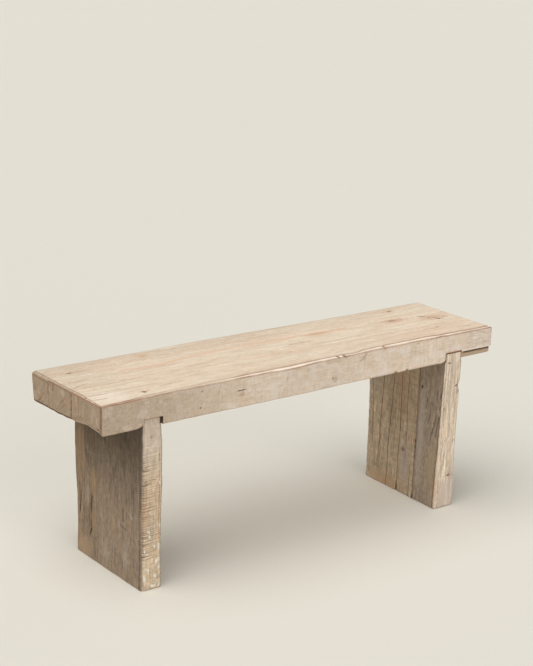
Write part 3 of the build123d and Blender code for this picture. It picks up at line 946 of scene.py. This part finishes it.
left_checks = [
    (76, [50, 60, 76, 89, 100, 115, 138, 160], [7, 7, -1, 1, 2, 1, -1, -4]),
    (106, [100, 171, 260], [2, 0, -3]),
    (122, [95, 103, 142, 155], [8, 6, -1, -3]),
]
board = Board(
    "left_leg_rear_board", grain=2, steps=(3.0, 2.8, 2.8),
    marks=([], [around([check[0] for check in left_checks], 2.8)], [beside([seat_under])]),
)
board.bend("left", left_checks)
leg_run = board.noise((400, 400, 18), 61)
board.roll("left", "back", 1.6 + 0.7 * leg_run, 1.5, brink_and_shade=0.4)
board.roll("right", "back", 4 + 1.2 * leg_run, 1.8)
board.roll("left", "under", 2.6 + 0.9 * board.noise((400, 14, 400), 63), 1.6)
board.roll("right", "under", 3.5, 1.8)
board.roll("back", "under", 4.5, 1.8)
board.seam("front", "left", 0.9, 0.35)
board.seam("front", "right", 0.8, 0.8)
board.roll("front", "under", 4, 1.2)
wave = 0.5 + 0.5 * board.noise((30, 22, 80), 66)
board.sink("left", 1.4 * wave)
board.sink("right", 1.2 * wave)
back_heights = [0, 33, 74, 113, 151, 189, 227, 265, 304, 372]
board.sink("back", below_seat(board, back_heights, [3.5, 3.5, 5.7, 4.2, 2.4, 0, -1.3, -2, -2, -0.8]))
board.sink("back", 0.8 * wave)
swollen = ease(92, 138, board.at(1)) * below_seat(board, [140, 190, 265, 320, 372], [0, 0.5, 1, 1, 0])
board.sink("left", -2.6 * swollen)
board.slit("left", 76, 102, 170, 8, 12, taper=26)
board.slit("left", 76, 48, 98, 7.5, 11, taper=16)
board.slit("left", 122, 90, 154, 5.5, 9, taper=20)
board.slit("left", 106, 126, 226, 2.4, 2.5, taper=40, dark=0.45)
step_tongue(board, "right", left_shoulder)
board.note("aged", board.on("left", "right", "back"))

fresh = (0.6, 0.46, 0.32)
wood = leg_wood(
    "left_leg_rear_wood", board, pith=(160, -380), seed=8,
    skin=(0.288, 0.214, 0.15), fresh=fresh, dirt=(0.165, 0.112, 0.072), painted_shade_under_seat=0.54,
    knots=[((-454, 83, 120), (20, 16, 60), 10.0)],
)
golden = wood.flecks((34, 9), 13, 0.44, 0.6) * wood.across.between(88, 124)
wood.lay((0.4, 0.27, 0.155), golden * wood.along.between(385, 300) * 0.5)
patches = wood.flecks((26, 7), 14, 0.5, 0.6) * wood.mark("aged")
wood.lay((0.13, 0.088, 0.06), patches * wood.along.between(30, 120) * 0.5)
wood.face("left", 16)
wood.stain((0.42, 0.285, 0.175), 0.6, (106, 22), (44, 40), 0.9)
wood.stain((0.32, 0.215, 0.125), 0.5, (120, 260), (34, 90), 0.9)
wood.stain((0.19, 0.13, 0.085), 0.45, (78, 118), (16, 70), 0.8)
wood.stain((0.4, 0.335, 0.275), 0.6, (88, 150), (9, 40), 0.8)
wood.stain((0.38, 0.25, 0.135), 0.6, (62, 190), (16, 46), 0.8)
wood.stain((0.36, 0.24, 0.135), 0.6, (64, 96), (12, 40), 0.8)
wood.stain((0.12, 0.08, 0.052), 0.5, (66, 300), (12, 60), 0.8)
wood.stain((0.12, 0.085, 0.058), 0.7, (122, 350), (34, 56), 0.8)
wood.score((0.09, 0.06, 0.04), 0.75, 5, (98, 330), (100, 280), (96, 240))
wood.score((0.09, 0.06, 0.04), 0.6, 4, (126, 250), (130, 205), (124, 165))
wear(wood, fresh, (0.12, 0.08, 0.055))

plank = board.piece("left_leg_rear_plank", wood.close(0.82, 0.8, 0.65))
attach(plank, "root")
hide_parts("left_leg_rear_board")

# Right leg
# The same lay-up with other boards: a narrow grey one in front, whose inner arris is rubbed and torn,
# and a wide brown one behind that has opened in long drying checks. It stands a little twisted.


leg_front, leg_depth = -141.0, 276.0


def twist(board):
    """How far the inner side of the leg lies in from the block: between four corner values, front and
    rear at the floor and under the seat, by the place across and up."""
    front = below_seat(board, [0, seat_under], [-5.6, 4.5])
    rear = below_seat(board, [0, 200, 260, seat_under], [5.0, 4.4, 2.4, 1.0])
    return front + (rear - front) * np.clip((board.at(1) - leg_front) / leg_depth, 0, 1)


# Front board of the right leg
# The narrow grey one. Its front edge is streaked and rubbed, with two old nail holes.

board = Board(
    "right_leg_front_board", grain=2, steps=(2.6, 2.8, 2.6),
    marks=(
        [around([428, 449, 456], 2.4)],
        [around([-65], 2.6)],
        [around([300, 378, 83], 2.4), around([317.5], 1.6), beside([seat_under])],
    ),
)
rise = board.at(2)
rag = board.noise((400, 400, 6), 71)
inner_worn = np.interp(rise, [0, 120, 300, 402], [8.0, 6.0, 4.2, 2.6]) + 1.5 * rag
board.roll("left", "front", inner_worn, 1.7, rub_and_highlight=0.5, brink_and_shade=0.8, wide=(1.5, 0.3))
outer_at = [0, 30, 90, 210, 265, 303, 313, 319, 330, 402]
outer_worn = np.interp(rise, outer_at, [4, 2.2, 2.4, 4.6, 3.6, 3.6, 7, 7, 2.4, 2.0])
board.roll("right", "front", outer_worn + 0.8 * board.noise((400, 400, 14), 72), 1.6, brink_and_shade=0.3)
board.roll("left", "under", 4 + 1.2 * board.noise((400, 14, 400), 73), 1.7)
board.roll("right", "under", 6, 2)
board.roll("front", "under", 6 + 1.2 * board.noise((10, 400, 400), 74), 1.9)
board.seam("back", "left", 1.3, 0.9, 1.2)
board.seam("back", "right", 0.8, 0.8)
board.roll("back", "under", 4, 1.2)
wave = 0.5 + 0.5 * board.noise((34, 26, 90), 76)
for side in ("left", "right", "front"):
    board.sink(side, 0.9 * wave)
board.sink("left", twist(board) + 0.5 * board.noise((60, 90, 7), 77))
bulge_at = [255, 275, 303, 312, 322, 334, 372]
board.sink("right", below_seat(board, bulge_at, [0, -1.6, -1.6, 0, 0, -2, -2]))
board.pit("left", (-65, 300), (4, 4.4), 5)
board.pit("front", (428, 378), (2.8, 2.6), 4, 0.8)
board.pit("front", (448, 83), (4.4, 2.6), 2, 0.75)
board.pit("front", (456, 317.5), (8, 1.7), 2.2, 0.8)
torn = bell(board.reach("front"), 6.5, 3.0) * ease(215, 240, rise) * (1 - ease(310, 328, rise))
board.note("check", torn * board.on("left") * (0.55 + 0.45 * rag))
step_tongue(board, "left", right_shoulder)
board.note("aged", board.on("left", "right"))

fresh = (0.745, 0.615, 0.475)
wood = leg_wood(
    "right_leg_front_wood", board, pith=(-180, 470), seed=10,
    skin=(0.368, 0.292, 0.22), fresh=fresh, dirt=(0.26, 0.195, 0.145), painted_shade_under_seat=0.18,
    knots=[((447, -141, 84), (16, 16, 34), 7.0)],
)
edge = wood.across.between(-134, -138)
wood.fleck((0.72, 0.55, 0.43), 0.55 * edge, (110, 9), 18, 0.46, 0.6)
wood.fleck((0.9, 0.8, 0.66), 0.7 * edge, (110, 4.4), 19, 0.52, 0.6)
wood.fleck((0.5, 0.42, 0.355), 0.65 * edge, (130, 4.4), 20, 0.54, 0.62)
wood.fleck((0.4, 0.29, 0.215), 0.7 * edge, (60, 3.2), 21, 0.57, 0.65)
wood.mottle((60, 5.5), 23, 1.4, edge)
wood.mottle((9, 6), 24, 0.6, edge)
wood.face("front", 14)
wood.stain((0.6, 0.505, 0.435), 0.7, (438, 34), (50, 62), 0.6)
wood.stain((0.6, 0.505, 0.435), 0.65, (445, 372), (14, 34), 0.6)
grain_line = (0.42, 0.335, 0.275)
wood.score(grain_line, 0.75, 4.2, (430, 282), (435, 256), (440, 232))
wood.score(grain_line, 0.6, 4, (415, 144), (427, 175), (441, 200))
wood.score(grain_line, 0.55, 3.8, (430, 122), (442, 150), (459, 176))
wood.score((0.92, 0.82, 0.68), 0.7, 4, (421, 132), (434, 166), (449, 192))
wood.score(grain_line, 0.5, 3.4, (416, 86), (463, 80))
wood.score((0.28, 0.19, 0.14), 0.85, 3.6, (448, 315), (464, 322))
wood.face("front", 6)
for x, z in ((462, 300), (421, 262), (419, 338), (452, 222)):
    wood.stain((0.36, 0.26, 0.19), 0.7, (x, z), (4, 7), 0.6)
wood.stain((0.3, 0.21, 0.155), 0.9, (447, 85), (8, 5.5))
wood.stain((0.3, 0.22, 0.165), 0.85, (426, 379), (6, 4.5))
wood.stain((0.47, 0.3, 0.185), 0.85, (405, -136, 58), (12, 13, 52), 0.9)
wood.face("left", 18)
for high, low in (
    ((-92, 302), (-86, 268)), ((-110, 298), (-100, 260)), ((-118, 306), (-108, 266)),
    ((-128, 300), (-120, 250)), ((-104, 252), (-96, 214)), ((-123, 242), (-112, 190)),
    ((-112, 202), (-104, 158)), ((-132, 232), (-126, 188)),
):
    wood.score((0.15, 0.11, 0.085), 0.75, 6, high, low)
wood.stain((0.5, 0.435, 0.375), 0.65, (-69, 180), (20, 190), 0.7)
wood.stain((0.43, 0.33, 0.215), 0.75, (-118, 105), (24, 90), 0.7)
wear(wood, (0.80, 0.64, 0.51), (0.12, 0.08, 0.055))

plank = board.piece("right_leg_front_plank", wood.close(0.82, 0.8, 0.65))
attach(plank, "root")
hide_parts("right_leg_front_board")

# Rear board of the right leg
# The wide brown one, open in wavy checks that run from the floor up to the seat.

long_checks = [
    (-40, [0, 90, 400], [2, 0, 0]),
    (-18, [0, 60, 154, 190, 228, 307, 380], [-3, 0, -1, -3, 2, 1, 3]),
    (9, [0, 40, 66, 136, 160, 196, 303, 380], [3, 0, 1, -1, -3, -1, -1, 2]),
    (46, [0, 60, 110, 154, 228, 289, 380], [7, 3, 4, 1, -4, -8, -10]),
    (83, [0, 49, 119, 150, 192, 281, 380], [12, 9, 1, 3, 0, -7, -9]),
    (115, [0, 73, 165, 270, 380], [-2, -1, -1, 4, 3]),
]
board = Board(
    "right_leg_rear_board", grain=2, steps=(3.0, 3.0, 2.8),
    marks=([], [around([check[0] for check in long_checks], 1.3)], [beside([seat_under])]),
)
board.bend("left", long_checks)
leg_run = board.noise((400, 400, 18), 81)
board.roll("left", "back", 3 + 1.2 * leg_run, 1.6)
board.roll("right", "back", 4 + 1.2 * leg_run, 1.8)
board.roll("left", "under", 3.5 + board.noise((400, 14, 400), 83), 1.7)
board.roll("right", "under", 4, 1.8)
board.roll("back", "under", 5, 1.8)
board.seam("front", "left", 1.3, 0.9, 1.2)
board.seam("front", "right", 0.8, 0.8)
board.roll("front", "under", 4, 1.2)
wave = 0.5 + 0.5 * board.noise((34, 24, 90), 86)
for side in ("left", "right", "back"):
    board.sink(side, 1.1 * wave)
board.sink("left", twist(board) + 0.5 * board.noise((60, 90, 7), 87))
board.slit("left", -40, -60, 100, 2, 4, taper=40)
board.slit("left", -18, 60, 440, 2.4, 5, taper=60, dark=0.8)
board.slit("left", 9, -60, 440, 2.8, 7, taper=40)
board.slit("left", 9, -60, 50, 5, 10, taper=40)
board.slit("left", 46, -60, 440, 2.6, 6, taper=40)
board.slit("left", 83, 30, 440, 2.4, 6, taper=40, dark=0.9)
board.slit("left", 115, 60, 330, 1.8, 3, taper=60, dark=0.6)
step_tongue(board, "left", right_shoulder)
board.note("aged", board.on("left", "right", "back"))

fresh = (0.62, 0.48, 0.33)
wood = leg_wood(
    "right_leg_rear_wood", board, pith=(60, 560), seed=14,
    skin=(0.50, 0.39, 0.275), fresh=fresh, dirt=(0.32, 0.232, 0.155), painted_shade_under_seat=0.16,
    knots=[((410, -10, 116), (20, 14, 40), 8.0)],
)
wood.face("left", 18)
wood.stain((0.42, 0.29, 0.19), 0.65, (10, 305), (44, 66), 0.8)
wood.stain((0.42, 0.285, 0.185), 0.65, (2, 230), (28, 56), 0.8)
wood.stain((0.47, 0.395, 0.335), 0.8, (-18, 88), (26, 80), 0.7)
wood.stain((0.5, 0.335, 0.2), 0.75, (56, 10), (90, 42), 0.7)
wood.stain((0.32, 0.275, 0.235), 0.6, (116, 290), (34, 70), 0.8)
wood.stain((0.34, 0.25, 0.165), 0.6, (40, 200), (16, 70), 0.9)
wood.stain((0.62, 0.54, 0.45), 0.8, (-4, 136), (8, 13), 0.6)
wood.score((0.42, 0.285, 0.19), 0.5, 12, (412, -44, 270), (411, -48, 200), (410, -51, 150))
wood.mottle((5, 90), 15, 0.5, wood.deep.between(430, 416))
wood.face("left", 11)
wood.stain((0.2, 0.13, 0.09), 0.9, (-9, 118), (9, 9))
wood.score((0.1, 0.07, 0.05), 0.9, 6, (-54, 158), (-54, 112))
wood.stain((0.08, 0.055, 0.04), 0.85, (-55, 6), (5, 14))
wear(wood, fresh, (0.12, 0.08, 0.055))

plank = board.piece("right_leg_rear_plank", wood.close(0.82, 0.8, 0.65))
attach(plank, "root")
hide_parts("right_leg_rear_board")

# Dowels and loose tenons
# Plain beech, turned or planed, glued blind into the seams and the leg joints, so nothing of them
# shows on the finished bench.

hidden_nodes = [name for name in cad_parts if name.endswith("dowels") or name.endswith("tenons")]
beech = Timber("joint_beech", 0, 20)
beech.late = beech.rings((300, 300), 3.0)
beech.fibre = beech.noise((9, 1.2), 4, detail=3.0)
beech.start((0.74, 0.56, 0.39))
beech.lay((0.62, 0.43, 0.28), beech.late * 0.3)
beech.lay((0.55, 0.36, 0.22), beech.fibre.between(0.55, 0.7) * 0.5)
beech_material = beech.close(0.6, 0.2)
for name in hidden_nodes:
    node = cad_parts[name]
    node.data.materials.clear()
    node.data.materials.append(beech_material)

# Studio
# A wide pale floor under a wide lamp above and to the left, and a smaller one in front, so that the top
# is brightest and the left faces fade into soft shade under the seat.

floor_half = 40.0
corners = np.array([[-1, -1, 0], [1, -1, 0], [1, 1, 0], [-1, 1, 0]]) * floor_half
floor_mesh = bpy.data.meshes.new("studio_floor")
floor_mesh.from_pydata(corners, [], [(0, 1, 2, 3)])
floor_material = bpy.data.materials.new("studio_floor_paint")
floor_material.use_nodes = True
floor_paint = floor_material.node_tree.nodes["Principled BSDF"]
floor_paint.inputs["Base Color"].default_value = (0.795, 0.77, 0.70, 1.0)
floor_paint.inputs["Roughness"].default_value = 0.9
floor_paint.inputs["Specular IOR Level"].default_value = 0.1
floor_mesh.materials.append(floor_material)
studio_floor = bpy.data.objects.new("studio_floor", floor_mesh)
bpy.context.scene.collection.objects.link(studio_floor)

world = bpy.data.worlds.new("studio_sky")
bpy.context.scene.world = world
world.use_nodes = True
sky = world.node_tree.nodes["Background"]
ray = world.node_tree.nodes.new("ShaderNodeLightPath").outputs
seen = Wire(ray["Is Camera Ray"]) + Wire(ray["Is Glossy Ray"]) + Wire(ray["Is Transmission Ray"])
sky_colours = {0: seen, 6: (0.2, 0.197, 0.192, 1.0), 7: (0.785, 0.757, 0.682, 1.0)}
shown = seen.node("ShaderNodeMix", {"data_type": "RGBA"}, sky_colours, 2)
world.node_tree.links.new(shown.socket, sky.inputs["Color"])


def soft_sun(name, toward, spread, level):
    """A far lamp as wide as a patch of sky spread degrees across. A surface that faces it gets the
    wanted level, counted so that 1 shows a colour as written."""
    data = bpy.data.lights.new(name, "SUN")
    data.energy = level * math.pi
    data.angle = math.radians(spread)
    data.color = (1.0, 0.985, 0.96)
    made = bpy.data.objects.new(name, data)
    made.matrix_world = Vector(toward).to_track_quat("Z", "Y").to_matrix().to_4x4()
    bpy.context.scene.collection.objects.link(made)


soft_sun("overhead_sun", (-0.45, -0.1, 0.88), 70, 0.74)
soft_sun("front_sun", (-0.1, -0.9, 0.42), 40, 0.27)

lens_pixels = 1600.37
image_long_side = 666
camera_data = bpy.data.cameras.new("photo_camera")
camera_data.sensor_width = 36.0
camera_data.lens = camera_data.sensor_width * lens_pixels / image_long_side
camera_data.clip_end = 200.0
camera = bpy.data.objects.new("photo_camera", camera_data)
camera_turn, camera_tilt, camera_roll = (math.radians(angle) for angle in (-37.4123, 16.3002, 1.6749))
camera.matrix_world = (
    Matrix.Translation((-2.18526, -2.82134, 1.52846))
    @ Matrix.Rotation(camera_turn, 4, "Z")
    @ Matrix.Rotation(math.pi / 2 - camera_tilt, 4, "X")
    @ Matrix.Rotation(camera_roll, 4, "Z")
)
bpy.context.scene.collection.objects.link(camera)
bpy.context.scene.camera = camera
bpy.context.scene.view_settings.view_transform = "Standard"

bpy.context.view_layer.update()
